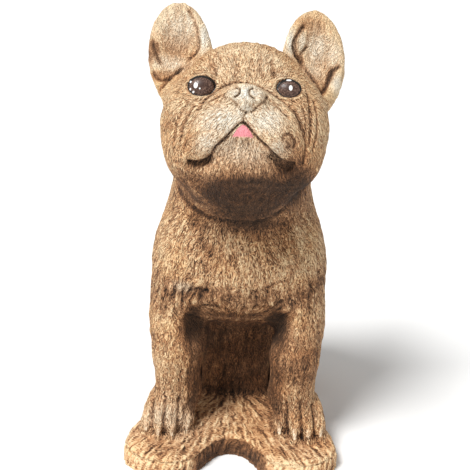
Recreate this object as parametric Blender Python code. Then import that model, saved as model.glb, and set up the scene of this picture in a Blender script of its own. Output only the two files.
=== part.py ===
"""Seated French bulldog, a garden statue cast in one piece with its low base.

The dog is drawn on a scale of points, 394 of them from the ground to its ear tips, so that a
point is a millimetre at the size given here. X runs across the statue, Y from its face (-Y)
to its back, and Z up. The origin is the middle of the base's underside.
"""

import math

import bmesh
import bpy
import numpy as np
from mathutils import Euler

# Driving sizes, in metres
FIGURE_HEIGHT = 0.394
BASE_THICKNESS = 0.018
BASE_WIDTH = 0.193
BASE_WAIST_WIDTH = 0.138
BASE_REAR_WIDTH = 0.152
BASE_DEPTH = 0.262
BASE_EDGE_ROUND = 0.005
NOTCH_WIDTH = 0.066
NOTCH_DEPTH = 0.041

# The dog's place on the base and its head's place and tilt, in points and degrees
DOG_PLACE = (2, -6, 0)
HEAD_PLACE = (2.5, -36, 285)
HEAD_PITCH = 30.0

# How finely the casting is worked, in points
POINTS_HIGH = 394
GRAINS = (4.0, 2.1)
TRIANGLES = 9800
SETTLE_STEPS = 5
SETTLE_SHARE = 0.8
FAR = 1e3
REACH_MARGIN = 42
PROTECTION = 6
RELAX = 0.5
RELAX_STEPS = 2

POINT = FIGURE_HEIGHT / POINTS_HIGH
BASE_TOP = BASE_THICKNESS / POINT
STONE_COLOUR = (0.36, 0.21, 0.12, 1.0)
STONE_ROUGHNESS = 0.7


class Frame:
    """A place to model in: its own origin above the base's top, and how far it is turned."""

    def __init__(self, origin, turn=(0, 0, 0)):
        self.origin = np.array(origin, float) + (0, 0, BASE_TOP)
        self.matrix = np.array(Euler([math.radians(a) for a in turn]).to_matrix())

    def inward(self, points):
        return (points - self.origin) @ self.matrix

    def outward(self, points):
        return np.asarray(points, float) @ self.matrix.T + self.origin


BODY = Frame(DOG_PLACE)
HEAD = Frame(HEAD_PLACE, (-HEAD_PITCH, 0, 0))


# Across and up in the head's frame
EYE_PLACE = (35.5, 7.5)


def turned(degrees):
    return np.array(Euler([math.radians(a) for a in degrees]).to_matrix())


def flipped(place):
    return (-place[0], place[1], place[2])


class Ball:
    """An ellipsoid of clay, which flows into what is already there over its blend."""

    def __init__(self, frame, centre, radii, blend=12, turn=(0, 0, 0)):
        self.frame = frame
        self.centre = np.array(centre, float)
        self.radii = np.array(radii, float)
        self.blend = blend
        self.turn = turn
        self.matrix = turned(turn)
        self.middle = frame.outward(self.centre)
        self.reach = max(radii)

    def mirrored(self):
        turn = (self.turn[0], -self.turn[1], -self.turn[2])
        return Ball(self.frame, flipped(self.centre), self.radii, self.blend, turn)

    def distance(self, points):
        local = (self.frame.inward(points) - self.centre) @ self.matrix
        size = np.linalg.norm(local / self.radii, axis=1)
        slope = np.linalg.norm(local / self.radii**2, axis=1)
        return size * (size - 1) / np.maximum(slope, 1e-9)

    def shell(self, shape):
        for vert in bmesh.ops.create_icosphere(shape, subdivisions=4, radius=1)["verts"]:
            local = self.matrix @ (np.array(vert.co) * self.radii) + self.centre
            vert.co = self.frame.outward(local)


class Limb:
    """A round bar of clay that tapers from one end to the other."""

    def __init__(self, frame, start, end, start_radius, end_radius, blend=12):
        self.frame = frame
        self.start = np.array(start, float)
        self.end = np.array(end, float)
        self.start_radius = start_radius
        self.end_radius = end_radius
        self.blend = blend
        self.middle = frame.outward((self.start + self.end) / 2)
        self.reach = np.linalg.norm(self.end - self.start) / 2 + max(start_radius, end_radius)

    def mirrored(self):
        return Limb(self.frame, flipped(self.start), flipped(self.end),
                    self.start_radius, self.end_radius, self.blend)

    def distance(self, points):
        run = self.end - self.start
        local = self.frame.inward(points) - self.start
        share = np.clip(local @ run / (run @ run), 0, 1)
        radius = self.start_radius + share * (self.end_radius - self.start_radius)
        return np.linalg.norm(local - share[:, None] * run, axis=1) - radius

    def shell(self, shape):
        thinner = min(self.start_radius, self.end_radius)
        steps = max(1, round(np.linalg.norm(self.end - self.start) / thinner * 1.5))
        for step in range(steps + 1):
            share = step / steps
            radius = self.start_radius + share * (self.end_radius - self.start_radius)
            made = bmesh.ops.create_icosphere(shape, subdivisions=2, radius=radius)["verts"]
            for vert in made:
                local = np.array(vert.co) + self.start + share * (self.end - self.start)
                vert.co = self.frame.outward(local)


class Ear(Ball):
    """A ball pressed flat, with its front scooped out to leave a rim and a thin back."""

    def __init__(self, frame, centre, radii, blend, turn, scoop_shift, scoop_radii, rim=3):
        super().__init__(frame, centre, radii, blend, turn)
        self.scoop_shift = np.array(scoop_shift, float)
        self.scoop = Ball(frame, self.centre + self.scoop_shift, scoop_radii, turn=turn)
        self.rim = rim

    def mirrored(self):
        turn = (self.turn[0], -self.turn[1], -self.turn[2])
        return Ear(self.frame, flipped(self.centre), self.radii, self.blend, turn,
                   flipped(self.scoop_shift), self.scoop.radii, self.rim)

    def distance(self, points):
        return -melt(-super().distance(points), self.scoop.distance(points), self.rim)


class Block:
    """An upright block with rounded edges."""

    def __init__(self, frame, centre, half, rounding, blend=8):
        self.frame = frame
        self.centre = np.array(centre, float)
        self.half = np.array(half, float)
        self.rounding = rounding
        self.blend = blend
        self.middle = frame.outward(self.centre)
        self.reach = np.linalg.norm(self.half)

    def distance(self, points):
        past = np.abs(self.frame.inward(points) - self.centre) - (self.half - self.rounding)
        return (np.linalg.norm(np.maximum(past, 0), axis=1)
                + np.minimum(past.max(axis=1), 0) - self.rounding)

    def shell(self, shape):
        for vert in bmesh.ops.create_cube(shape, size=2)["verts"]:
            vert.co = self.frame.outward(np.array(vert.co) * self.half * 0.97 + self.centre)


def melt(first, second, blend):
    """The union of two distances, rounded where they meet."""
    share = np.maximum(blend - np.abs(first - second), 0) / max(blend, 1e-9)
    return np.minimum(first, second) - share * share * blend / 4


def both_sides(*masses):
    """The masses on the dog's left, and their twins on its right."""
    return [*masses, *(mass.mirrored() for mass in masses)]


def torso():
    """Ribcage, chest, back and rump of the sitting dog."""
    return [
        Ball(BODY, (0, 6, 140), (66, 56, 58), 0, turn=(12, 0, 0)),
        Ball(BODY, (0, -30, 144), (50, 36, 40), 24),
        Ball(BODY, (0, 52, 94), (62, 56, 64), 26, turn=(18, 0, 0)),
        Ball(BODY, (0, 74, 52), (66, 48, 54), 22),
        Limb(BODY, (0, 20, 164), (0, 4, 214), 75, 64, 24),
        *both_sides(Ball(BODY, (48, -14, 138), (32, 40, 56), 20)),
        Ball(BODY, (0, 122, 26), (12, 12, 12), 10),
    ]


def forelegs():
    return both_sides(
        Limb(BODY, (55, -30, 112), (54, -45, 66), 25, 22.5, 12),
        Limb(BODY, (54, -45, 66), (53, -47, 26), 22.5, 20.5, 6),
        Ball(BODY, (61, -28, 92), (18.5, 26, 26), 12),
    )


def hindquarters():
    """Thighs folded at the dog's sides, the feet under them, and the fill behind the forelegs."""
    return [
        *both_sides(
            Ball(BODY, (53, 56, 52), (31, 48, 50), 14, turn=(-14, 0, 0)),
            Limb(BODY, (59, 78, 14), (59, 22, 12), 17, 14, 8),
        ),
        Block(BODY, (0, 50, 38), (33, 50, 50), 9, 8),
    ]


# Each toe: how far across from the paw's middle, how far forward its tip is, and its knuckle's height
TOES = ((-13, -69, 15), (-1, -78, 18), (10, -79, 18), (20.5, -71, 15))
PAW_ACROSS = 56.5
CLAW_RADIUS = 2.8


def forepaw():
    """The dog's left paw: its pad, four toes with their claws, and the dewclaw on the inner side."""
    clay = [Ball(BODY, (PAW_ACROSS + 1, -52, 12), (20, 24, 17), 8)]
    for across, tip, knuckle in TOES:
        spread = across * 0.12
        root = (PAW_ACROSS + across - spread, -44, knuckle + 6)
        nail = (PAW_ACROSS + across + spread, tip - 4, 9)
        point = (PAW_ACROSS + across + spread * 1.2, tip - 12, 3.2)
        clay.append(Limb(BODY, root, (nail[0], tip, 8), 7.0, 6.4, 2))
        clay.append(Limb(BODY, nail, point, CLAW_RADIUS, CLAW_RADIUS * 0.6, 1))
    clay.append(Limb(BODY, (35, -42, 34), (31.5, -50, 24), 5, 2.8, 4))
    return clay


def skull():
    """The head behind the muzzle, down to the roll of skin round the throat."""
    return [
        Ball(HEAD, (0, 4, 0), (66, 60, 59), 8),
        Ball(HEAD, (0, -17, 33), (40, 33, 24), 16),
        *both_sides(
            Ball(HEAD, (44, -14, -18), (27, 37, 38), 20),
            Ball(HEAD, (38, -24, -46), (25, 30, 24), 14),
            Ball(HEAD, (60, 8, 14), (10, 12, 24), 8),
        ),
        Ball(HEAD, (0, 0, -58), (46, 46, 30), 14),
        Ball(BODY, (-1, -22, 208), (55, 39, 25), 6),
    ]


def muzzle():
    """Flews hanging either side of the mouth, the chin between them, and the nose."""
    return [
        Ball(HEAD, (0, -36, -18), (46, 27, 27), 10),
        *both_sides(
            Limb(HEAD, (12, -50, -21), (23, -49, -34), 17.5, 18.5, 12),
            Limb(HEAD, (23, -49, -34), (37, -38, -43), 18.5, 15.5, 7),
        ),
        Ball(HEAD, (0, -33, -58), (38, 28, 20), 4),
        Ball(HEAD, (0, -42, -52), (25, 19, 18), 3),
        Ball(HEAD, (0, -59, -5), (18, 10, 11), 6),
        Ball(HEAD, (0, -66, -4), (12, 9, 8), 2.5),
        *both_sides(Ball(HEAD, (11, -66, -7.5), (6.5, 8.5, 6.2), 1)),
        Ball(HEAD, (0, -69, -11), (5.5, 6.5, 6.5), 2),
        Ball(HEAD, (0, -60, -34), (9, 7, 6.5), 1),
    ]


def eyeballs():
    return both_sides(Ball(HEAD, (EYE_PLACE[0], -43.5, EYE_PLACE[1]), (13, 9, 11), 0.5))


def ears():
    """The two ears, which stand a little differently."""
    scoop = {"scoop_shift": (0, -12, -2), "scoop_radii": (23, 13, 42)}
    return [
        Ear(HEAD, (60, 10, 56), (30, 13, 51), 8, (0, 0, 14), **scoop),
        Ear(HEAD, (-59.5, 10, 58), (31, 13, 53), 8, (0, -8, -14), **scoop),
    ]


def outline(stations, samples=3):
    """A closed smooth curve through the stations, which are its right half from front to back."""
    half = [np.array(s, float) for s in stations]
    loop = half + [s * (-1, 1) for s in reversed(half[1:-1])]
    curve = []
    for i in range(len(loop)):
        before, start, end, after = (loop[(i + k) % len(loop)] for k in (-1, 0, 1, 2))
        for step in range(samples):
            t = step / samples
            curve.append(0.5 * (2 * start + (end - before) * t
                                + (2 * before - 5 * start + 4 * end - after) * t * t
                                + (3 * start - before - 3 * end + after) * t**3))
    return np.array(curve)


class Plate:
    """The base: an outline with some thickness, rounded along its upper edge."""

    def __init__(self):
        half = BASE_WIDTH / POINT / 2
        waist = BASE_WAIST_WIDTH / POINT / 2
        rear = BASE_REAR_WIDTH / POINT / 2
        front = -BASE_DEPTH / POINT / 2
        back = -front
        notch = NOTCH_DEPTH / POINT
        mouth = NOTCH_WIDTH / POINT / 2
        self.curve = outline((
            (0, front + notch),
            (mouth * 0.36, front + notch * 0.92),
            (mouth * 0.66, front + notch * 0.55),
            (mouth, front + notch * 0.14),
            (half * 0.52, front),
            (half * 0.78, front + half * 0.035),
            (half * 0.965, front + half * 0.21),
            (half, front + half * 0.43),
            (half * 0.935, front + half * 0.72),
            (waist * 1.05, front + half * 1.03),
            (waist, front + half * 1.34),
            (rear * 0.955, back - half * 0.88),
            (rear, back - half * 0.52),
            (rear * 0.88, back - half * 0.19),
            (rear * 0.46, back - half * 0.02),
            (0, back),
        ))
        self.rounding = BASE_EDGE_ROUND / POINT
        self.blend = 3

    def distance(self, points):
        start = self.curve
        run = np.roll(self.curve, -1, axis=0) - start
        flat = points[:, :2]
        nearest = np.full(len(points), FAR)
        inside = np.zeros(len(points), bool)
        for a, r in zip(start, run):
            local = flat - a
            share = np.clip(local @ r / (r @ r), 0, 1)
            nearest = np.minimum(nearest, np.linalg.norm(local - share[:, None] * r, axis=1))
            if r[1]:
                crosses = (local[:, 1] >= 0) != (local[:, 1] >= r[1])
                inside ^= crosses & (local[:, 0] < local[:, 1] / r[1] * r[0])
        sideways = np.where(inside, -nearest, nearest) + self.rounding
        upward = points[:, 2] - BASE_TOP + self.rounding
        past = np.stack([sideways, upward], axis=1)
        return (np.linalg.norm(np.maximum(past, 0), axis=1)
                + np.minimum(past.max(axis=1), 0) - self.rounding)

    def shell(self, shape):
        below = [shape.verts.new((x, y, -GRAINS[0] * 3)) for x, y in self.curve]
        floor = shape.faces.new(below)
        raised = bmesh.ops.extrude_face_region(shape, geom=[floor])["geom"]
        for vert in (g for g in raised if isinstance(g, bmesh.types.BMVert)):
            vert.co.z = BASE_TOP - 0.5
        floor.normal_flip()


def clay():
    """Every mass of the statue, in the order in which it is laid on."""
    paws = both_sides(*forepaw())
    return [*torso(), *forelegs(), *hindquarters(), *paws, *skull(), *muzzle(), *ears()]


def line_distance(places, path):
    """How far 2D places are from a line through the path's points."""
    path = np.array(path, float)
    nearest = np.full(len(places), FAR)
    for start, end in zip(path[:-1], path[1:]):
        run = end - start
        local = places - start
        share = np.clip(local @ run / (run @ run), 0, 1)
        nearest = np.minimum(nearest, np.linalg.norm(local - share[:, None] * run, axis=1))
    return nearest


def smooth_path(path, samples=5):
    """Points along a smooth curve through the path's own points."""
    path = [np.array(p, float) for p in path]
    path = [2 * path[0] - path[1], *path, 2 * path[-1] - path[-2]]
    curve = []
    for before, start, end, after in zip(path[:-3], path[1:-2], path[2:-1], path[3:]):
        for step in range(samples):
            t = step / samples
            curve.append(0.5 * (2 * start + (end - before) * t
                                + (2 * before - 5 * start + 4 * end - after) * t * t
                                + (3 * start - before - 3 * end + after) * t**3))
    return curve + [path[-2]]


def ring(centre, across, up, points=10):
    """A closed path round a centre."""
    angles = [math.tau * i / points for i in range(points + 1)]
    return [(centre[0] + across * math.cos(a), centre[1] + up * math.sin(a)) for a in angles]


# Lines carved as they are seen from the front: their path across and up, how wide they are, and
# how deep they are cut. A line of less than no depth stands out as a fold.
FACE_LINES = (
    # fold over the nose between its two creases
    (((-38, -18), (-29, -8), (-18, 0), (-9, 5), (2, 5), (14, 2), (26, -6), (38, -16)), 3.2, -2.4),
    (((-34, -8), (-29, -3), (-19, 4.5), (-9, 10), (3, 8.5), (14, 6), (25, -1), (36, -8), (46, -18)),
     1.9, 2.6),
    (((-30, -14), (-20, -6), (-14, -2)), 1.6, 2.0),
    (((16, -4), (26, -12), (34, -19)), 1.6, 1.6),
    # eye sockets and the lids round them
    (((-37, 7.5), (-34, 7.5)), 12, 6.0),
    (((34, 7.5), (37, 7.5)), 12, 6.0),
    (ring((-EYE_PLACE[0], EYE_PLACE[1]), 15, 12.5), 2.6, -3.2),
    (ring(EYE_PLACE, 15, 12.5), 2.6, -3.2),
    # nostrils, and the groove from the nose to the mouth
    (((-9.5, 0), (-6.5, -3), (-7, -8)), 1.3, 2.6),
    (((9.5, 0), (6.5, -3), (7, -8)), 1.3, 2.6),
    (((0, -14), (0, -28)), 1.3, 1.8),
    # mouth, opening at its corners
    (((-41, -57), (-35, -58), (-23, -51), (-17, -43), (-8, -35), (0, -28), (8, -35), (14, -43),
      (19, -51), (31, -59), (40, -58)), 2.2, 2.6),
    (((-42, -56), (-36, -58), (-26, -54)), 3.4, 3.2),
    (((22, -54), (30, -59), (39, -58)), 3.4, 3.2),
    # creases between muzzle and cheek, and wrinkles down the cheeks
    (((-36, -8), (-42, -14), (-46, -23), (-49, -33), (-50, -46)), 2.0, 2.4),
    (((-42, -6), (-49, -14), (-53, -24), (-55, -36)), 1.8, 1.6),
    (((44, -18), (49, -28), (50, -40), (48, -52)), 2.0, 2.2),
    (((52, 4), (54, -12), (53, -32)), 1.8, 1.8),
    # dimples over the eyes and furrows between them
    (((-28, 26), (-26, 22)), 3.0, 1.6),
    (((22, 27), (23, 22)), 3.0, 1.6),
    (((-9, 30), (-8, 16)), 2.4, 1.2),
    (((9, 30), (8, 16)), 2.4, 1.2),
)
CHEST_LINES = (
    # hollows that run down from the sides of the neck
    (((-38, 190), (-32, 168), (-18, 146)), 9.0, 2.0),
    (((38, 190), (33, 170), (18, 148)), 9.0, 1.6),
    # fringes of longer fur under the chest
    (((-50, 118), (-38, 128), (-22, 132), (0, 127), (22, 133), (40, 127), (50, 118)), 3.6, 1.4),
    (((-50, 112), (-34, 120), (-12, 121), (10, 119), (34, 121), (50, 112)), 5, -1.4),
    # hollows where the forelegs go in under the chest
    (((-42, 106), (-40, 88)), 7, 7),
    (((42, 107), (37, 88)), 7, 7),
)
EDGE_OF_FRONT = 12


class Carving:
    """Lines carved into the front of the dog, in a frame and from some distance forward in it."""

    def __init__(self, frame, forward, size, lines):
        self.frame = frame
        self.forward = forward
        self.size = size
        self.lines = [(smooth_path(path), width, depth) for path, width, depth in lines]

    def moved(self, points):
        """How far the lines move the surface: in where above zero, out where below."""
        local = self.frame.inward(points)
        front = np.clip((-local[:, 1] - self.forward) / EDGE_OF_FRONT, 0, 1)
        carved = np.flatnonzero((front > 0) & (abs(local[:, [0, 2]]) < self.size).all(axis=1))
        moved = np.zeros(len(points))
        for path, width, depth in self.lines:
            least = np.min(path, axis=0) - 3 * width
            most = np.max(path, axis=0) + 3 * width
            places = local[carved][:, [0, 2]]
            close = carved[((places > least) & (places < most)).all(axis=1)]
            near = line_distance(local[close][:, [0, 2]], path)
            moved[close] += front[close] * depth * np.exp(-((near / width) ** 2))
        return moved


class Statue:
    """The whole statue as a distance: how far a point is outside its surface."""

    def __init__(self):
        self.masses = clay()
        self.eyeballs = eyeballs()
        self.plate = Plate()
        self.carvings = [
            Carving(HEAD, 25, 75, FACE_LINES),
            Carving(BODY, 18, 210, CHEST_LINES),
        ]

    def near(self, points):
        """For each mass, the points that it can reach, and the same for the base."""
        found = []
        for mass in self.masses + self.eyeballs:
            close = (np.abs(points - mass.middle) < mass.reach + REACH_MARGIN).all(axis=1)
            found.append(np.flatnonzero(close))
        return found, np.flatnonzero(points[:, 2] < BASE_TOP + REACH_MARGIN)

    def distance(self, points, reached):
        by_mass, low = reached
        distance = np.full(len(points), FAR)
        for mass, near in zip(self.masses, by_mass):
            distance[near] = melt(distance[near], mass.distance(points[near]), mass.blend)
        distance += sum(carving.moved(points) for carving in self.carvings)
        for ball, near in zip(self.eyeballs, by_mass[len(self.masses):]):
            distance[near] = melt(distance[near], ball.distance(points[near]), ball.blend)
        distance[low] = melt(distance[low], self.plate.distance(points[low]), self.plate.blend)
        return distance


def settle(mesh, statue, grain):
    """Draws the skin's points onto the statue's surface, each along its own normal."""
    reached = statue.near(read_points(mesh))
    for _ in range(SETTLE_STEPS):
        points = read_points(mesh)
        off = statue.distance(points, reached)
        step = np.clip(off, -grain, grain) * SETTLE_SHARE
        write_points(mesh, points - read_normals(mesh) * step[:, None])


def read_points(mesh):
    flat = np.empty(len(mesh.vertices) * 3, np.float32)
    mesh.vertices.foreach_get("co", flat)
    return flat.reshape(-1, 3).astype(float)


def read_normals(mesh):
    flat = np.empty(len(mesh.vertices) * 3, np.float32)
    mesh.vertex_normals.foreach_get("vector", flat)
    return flat.reshape(-1, 3).astype(float)


def write_points(mesh, points):
    mesh.vertices.foreach_set("co", points.astype(np.float32).ravel())
    mesh.update()


def apply_modifiers(thing):
    """The mesh as its modifiers leave it, as the object's own mesh."""
    graph = bpy.context.evaluated_depsgraph_get()
    made = bpy.data.meshes.new_from_object(thing.evaluated_get(graph))
    thing.modifiers.clear()
    thing.data = made


def rough_out(name, statue):
    """All the masses' shells in one object, still through one another."""
    shape = bmesh.new()
    for mass in statue.masses + statue.eyeballs:
        mass.shell(shape)
    statue.plate.shell(shape)
    mesh = bpy.data.meshes.new(name)
    shape.to_mesh(mesh)
    shape.free()
    thing = bpy.data.objects.new(name, mesh)
    bpy.context.scene.collection.objects.link(thing)
    return thing


def skin(thing, grain):
    """One closed skin round the object, with points as far apart as the grain."""
    wrap = thing.modifiers.new("one skin", "REMESH")
    wrap.mode = "VOXEL"
    wrap.voxel_size = grain
    apply_modifiers(thing)


def relax(thing):
    """Evens out the skin's points after they have settled."""
    ease = thing.modifiers.new("relax", "SMOOTH")
    ease.factor = RELAX
    ease.iterations = RELAX_STEPS
    apply_modifiers(thing)


def detail(points):
    """How much of the fine mesh each point needs: all of it on the face, paws and ears."""
    local = HEAD.inward(points)
    face = np.clip((-local[:, 1] - 20) / 20, 0, 1) * (np.abs(local[:, 2] + 22) < 62)
    paws = (points[:, 2] < BASE_TOP + 34) & (points[:, 2] > BASE_TOP + 2) & (points[:, 1] < -48)
    ear = (local[:, 2] > 30) & (np.abs(local[:, 0]) > 30)
    return np.maximum(face, np.maximum(paws * 0.6, ear * 0.3))


def trim(thing):
    """Thins the skin to its final number of triangles, least where detail() asks for more."""
    group = thing.vertex_groups.new(name="plain")
    plain = 1 - 0.9 * detail(read_points(thing.data))
    for level in np.unique(plain.round(2)):
        group.add(np.flatnonzero(plain.round(2) == level).tolist(), float(level), "REPLACE")
    thin = thing.modifiers.new("fewer triangles", "DECIMATE")
    thin.ratio = TRIANGLES / (2 * len(thing.data.polygons))
    thin.vertex_group = group.name
    thin.vertex_group_factor = PROTECTION
    thin.use_collapse_triangulate = True
    apply_modifiers(thing)
    thing.vertex_groups.clear()


def cut_underside(mesh):
    """Cuts the base flat at the ground and closes the cut."""
    shape = bmesh.new()
    shape.from_mesh(mesh)
    everything = shape.verts[:] + shape.edges[:] + shape.faces[:]
    cut = bmesh.ops.bisect_plane(shape, geom=everything, dist=1e-4, plane_co=(0, 0, 0),
                                 plane_no=(0, 0, 1), clear_inner=True)["geom_cut"]
    rim = [g for g in cut if isinstance(g, bmesh.types.BMEdge)]
    bmesh.ops.holes_fill(shape, edges=rim, sides=0)
    bmesh.ops.triangulate(shape, faces=shape.faces[:])
    bmesh.ops.recalc_face_normals(shape, faces=shape.faces[:])
    shape.to_mesh(mesh)
    shape.free()


def stone():
    made = bpy.data.materials.new("stained stone")
    made.use_nodes = True
    shader = made.node_tree.nodes["Principled BSDF"]
    shader.inputs["Base Color"].default_value = STONE_COLOUR
    shader.inputs["Roughness"].default_value = STONE_ROUGHNESS
    return made


def cast_statue():
    statue = Statue()
    casting = rough_out("bulldog_statue", statue)
    for grain in GRAINS:
        skin(casting, grain)
        settle(casting.data, statue, grain)
        relax(casting)
    trim(casting)
    cut_underside(casting.data)
    write_points(casting.data, read_points(casting.data) * POINT)
    casting.data.shade_smooth()
    casting.data.materials.append(stone())
    return casting


def main():
    for thing in list(bpy.data.objects):
        bpy.data.objects.remove(thing)
    cast_statue()


main()
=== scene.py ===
import math

import bmesh
import bpy
import numpy as np
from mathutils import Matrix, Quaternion, Vector, noise
from mathutils.bvhtree import BVHTree


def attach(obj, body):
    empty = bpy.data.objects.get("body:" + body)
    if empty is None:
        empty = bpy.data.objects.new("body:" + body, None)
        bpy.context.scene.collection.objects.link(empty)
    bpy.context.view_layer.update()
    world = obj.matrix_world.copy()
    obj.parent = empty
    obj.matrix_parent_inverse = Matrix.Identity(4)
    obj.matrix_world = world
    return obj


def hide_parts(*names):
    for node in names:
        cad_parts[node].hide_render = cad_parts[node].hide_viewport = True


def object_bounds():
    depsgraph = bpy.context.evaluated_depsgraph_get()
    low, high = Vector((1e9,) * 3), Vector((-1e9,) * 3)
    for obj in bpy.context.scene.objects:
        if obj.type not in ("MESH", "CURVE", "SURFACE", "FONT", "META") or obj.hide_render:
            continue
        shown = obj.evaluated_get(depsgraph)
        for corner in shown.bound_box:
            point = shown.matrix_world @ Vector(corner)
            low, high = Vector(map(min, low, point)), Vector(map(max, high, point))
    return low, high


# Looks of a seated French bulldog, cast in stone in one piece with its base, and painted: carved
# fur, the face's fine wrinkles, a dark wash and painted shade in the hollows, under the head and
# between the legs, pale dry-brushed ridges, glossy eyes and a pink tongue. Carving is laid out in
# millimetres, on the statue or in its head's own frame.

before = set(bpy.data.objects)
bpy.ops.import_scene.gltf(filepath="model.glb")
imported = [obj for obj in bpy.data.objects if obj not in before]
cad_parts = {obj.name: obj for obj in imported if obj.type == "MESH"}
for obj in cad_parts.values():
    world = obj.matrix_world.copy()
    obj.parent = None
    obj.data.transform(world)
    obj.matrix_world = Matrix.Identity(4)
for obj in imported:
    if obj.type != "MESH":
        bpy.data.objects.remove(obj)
cadBox = [list(corner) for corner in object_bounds()]
print("stage: the cast statue is loaded")

mm = 0.001

# where the head is and how far it looks up
headPose = {"origin": (2.5, -36.0, 303.0), "pitchDegrees": 30.0}
headTilt = math.radians(headPose["pitchDegrees"])
headWays = np.array(((1, 0, 0),
                     (0, -math.cos(headTilt), math.sin(headTilt)),
                     (0, math.sin(headTilt), math.cos(headTilt))))


def toHead(points):
    # statue millimetres to across, forward and up in the head's frame
    return (points - headPose["origin"]) @ headWays.T


def fromHead(local):
    return local @ headWays + headPose["origin"]


# Reading and writing meshes


def readPoints(mesh):
    flat = np.empty(len(mesh.vertices) * 3, np.float32)
    mesh.vertices.foreach_get("co", flat)
    return flat.reshape(-1, 3).astype(float) / mm


def writePoints(mesh, points):
    mesh.vertices.foreach_set("co", (points * mm).astype(np.float32).ravel())
    mesh.update()


def readNormals(mesh):
    flat = np.empty(len(mesh.vertices) * 3, np.float32)
    mesh.vertex_normals.foreach_get("vector", flat)
    return flat.reshape(-1, 3).astype(float)


def readEdges(mesh):
    flat = np.empty(len(mesh.edges) * 2, np.int32)
    mesh.edges.foreach_get("vertices", flat)
    return flat.reshape(-1, 2)


def storeNumber(mesh, name, values):
    mesh.attributes.new(name, "FLOAT", "POINT").data.foreach_set("value", values.astype(np.float32))


def storeVector(mesh, name, values):
    layer = mesh.attributes.new(name, "FLOAT_VECTOR", "POINT")
    layer.data.foreach_set("vector", values.astype(np.float32).ravel())


def applyModifiers(thing):
    graph = bpy.context.evaluated_depsgraph_get()
    made = bpy.data.meshes.new_from_object(thing.evaluated_get(graph))
    thing.modifiers.clear()
    thing.data = made


# Shapes of numbers


def smoothStep(low, high, x):
    t = np.clip((x - low) / (high - low), 0, 1)
    return t * t * (3 - 2 * t)


def spot(places, centre, size):
    # 1 at the centre, fading out over the size
    away = (places - np.array(centre)) / np.array(size)
    return np.exp(-(away**2).sum(axis=1))


def eased(values, edges, rounds, share=0.5):
    # draws each point's values toward its neighbours' mean, over and over
    values = values.reshape(len(values), -1)
    share = np.broadcast_to(share, len(values))[:, None]
    count = np.maximum(np.bincount(edges.ravel(), minlength=len(values)), 1)
    for _ in range(rounds):
        total = np.empty_like(values)
        for i in range(values.shape[1]):
            column = values[:, i]
            total[:, i] = (np.bincount(edges[:, 0], column[edges[:, 1]], len(values))
                           + np.bincount(edges[:, 1], column[edges[:, 0]], len(values)))
        values = values + share * (total / count[:, None] - values)
    return values


# Lines carved along smooth paths

samplesOnPath = 5


def smoothPath(path):
    path = [np.array(p, float) for p in path]
    path = [2 * path[0] - path[1], *path, 2 * path[-1] - path[-2]]
    curve = []
    for before, start, end, after in zip(path[:-3], path[1:-2], path[2:-1], path[3:]):
        for step in range(samplesOnPath):
            t = step / samplesOnPath
            curve.append(0.5 * (2 * start + (end - before) * t
                                + (2 * before - 5 * start + 4 * end - after) * t * t
                                + (3 * start - before - 3 * end + after) * t**3))
    return np.array(curve + [path[-2]])


def nearLine(places, path, width):
    # 1 on the line and about nothing two widths away
    path = smoothPath(path)
    inBox = ((places > path.min(0) - 3 * width) & (places < path.max(0) + 3 * width)).all(axis=1)
    close = np.flatnonzero(inBox)
    found = np.full(len(close), 1e3)
    for start, end in zip(path[:-1], path[1:]):
        run = end - start
        local = places[close] - start
        share = np.clip(local @ run / max(run @ run, 1e-9), 0, 1)
        found = np.minimum(found, np.linalg.norm(local - share[:, None] * run, axis=1))
    near = np.zeros(len(places))
    near[close] = np.exp(-((found / width) ** 2))
    return near


def carved(places, where, lines):
    # how far lines seen in a view sink the surface; depth below nothing raises it
    sunk = np.zeros(len(places))
    for path, width, depth in lines:
        sunk += nearLine(places, path, width) * depth
    return sunk * where


# The statue's skin: a fine, even mesh over the cast form

skin = {
    "grain": 2.45,           # spacing of the skin's points, halved on the face and paws
    "plainRounds": 16,       # these round off the casting's facets
    "fineRounds": 4,
}


def fineParts(points):
    # 1 on the face and the paws, where small forms matter
    local = toHead(points)
    face = smoothStep(14, 28, local[:, 1]) * smoothStep(-76, -70, local[:, 2]) \
        * smoothStep(52, 44, local[:, 2])
    paws = smoothStep(56, 50, points[:, 2]) * smoothStep(17, 19, points[:, 2]) \
        * smoothStep(-56, -62, points[:, 1])
    return np.maximum(face, paws)


def refine(mesh):
    wanted = fineParts(readPoints(mesh)) > 0.3
    shape = bmesh.new()
    shape.from_mesh(mesh)
    shape.verts.ensure_lookup_table()
    edges = [e for e in shape.edges if wanted[e.verts[0].index] and wanted[e.verts[1].index]]
    bmesh.ops.subdivide_edges(shape, edges=edges, cuts=1, use_grid_fill=True)
    bmesh.ops.triangulate(shape, faces=[f for f in shape.faces if len(f.verts) > 4])
    shape.to_mesh(mesh)
    shape.free()


def makeSkin(node):
    thing = bpy.data.objects.new("bulldogStatue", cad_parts[node].data.copy())
    bpy.context.scene.collection.objects.link(thing)
    wrap = thing.modifiers.new("skin", "REMESH")
    wrap.mode = "VOXEL"
    wrap.voxel_size = skin["grain"] * mm
    applyModifiers(thing)
    points = readPoints(thing.data)
    edges = readEdges(thing.data)
    fine = fineParts(points)
    flatBelow = smoothStep(0.5, 4, points[:, 2])   # keeps the underside flat
    points = eased(points, edges, skin["plainRounds"], 0.5 * (1 - fine) * flatBelow)
    points = eased(points, edges, skin["fineRounds"], 0.5 * fine)
    writePoints(thing.data, points)
    refine(thing.data)
    return thing


# The way the fur lies

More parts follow.
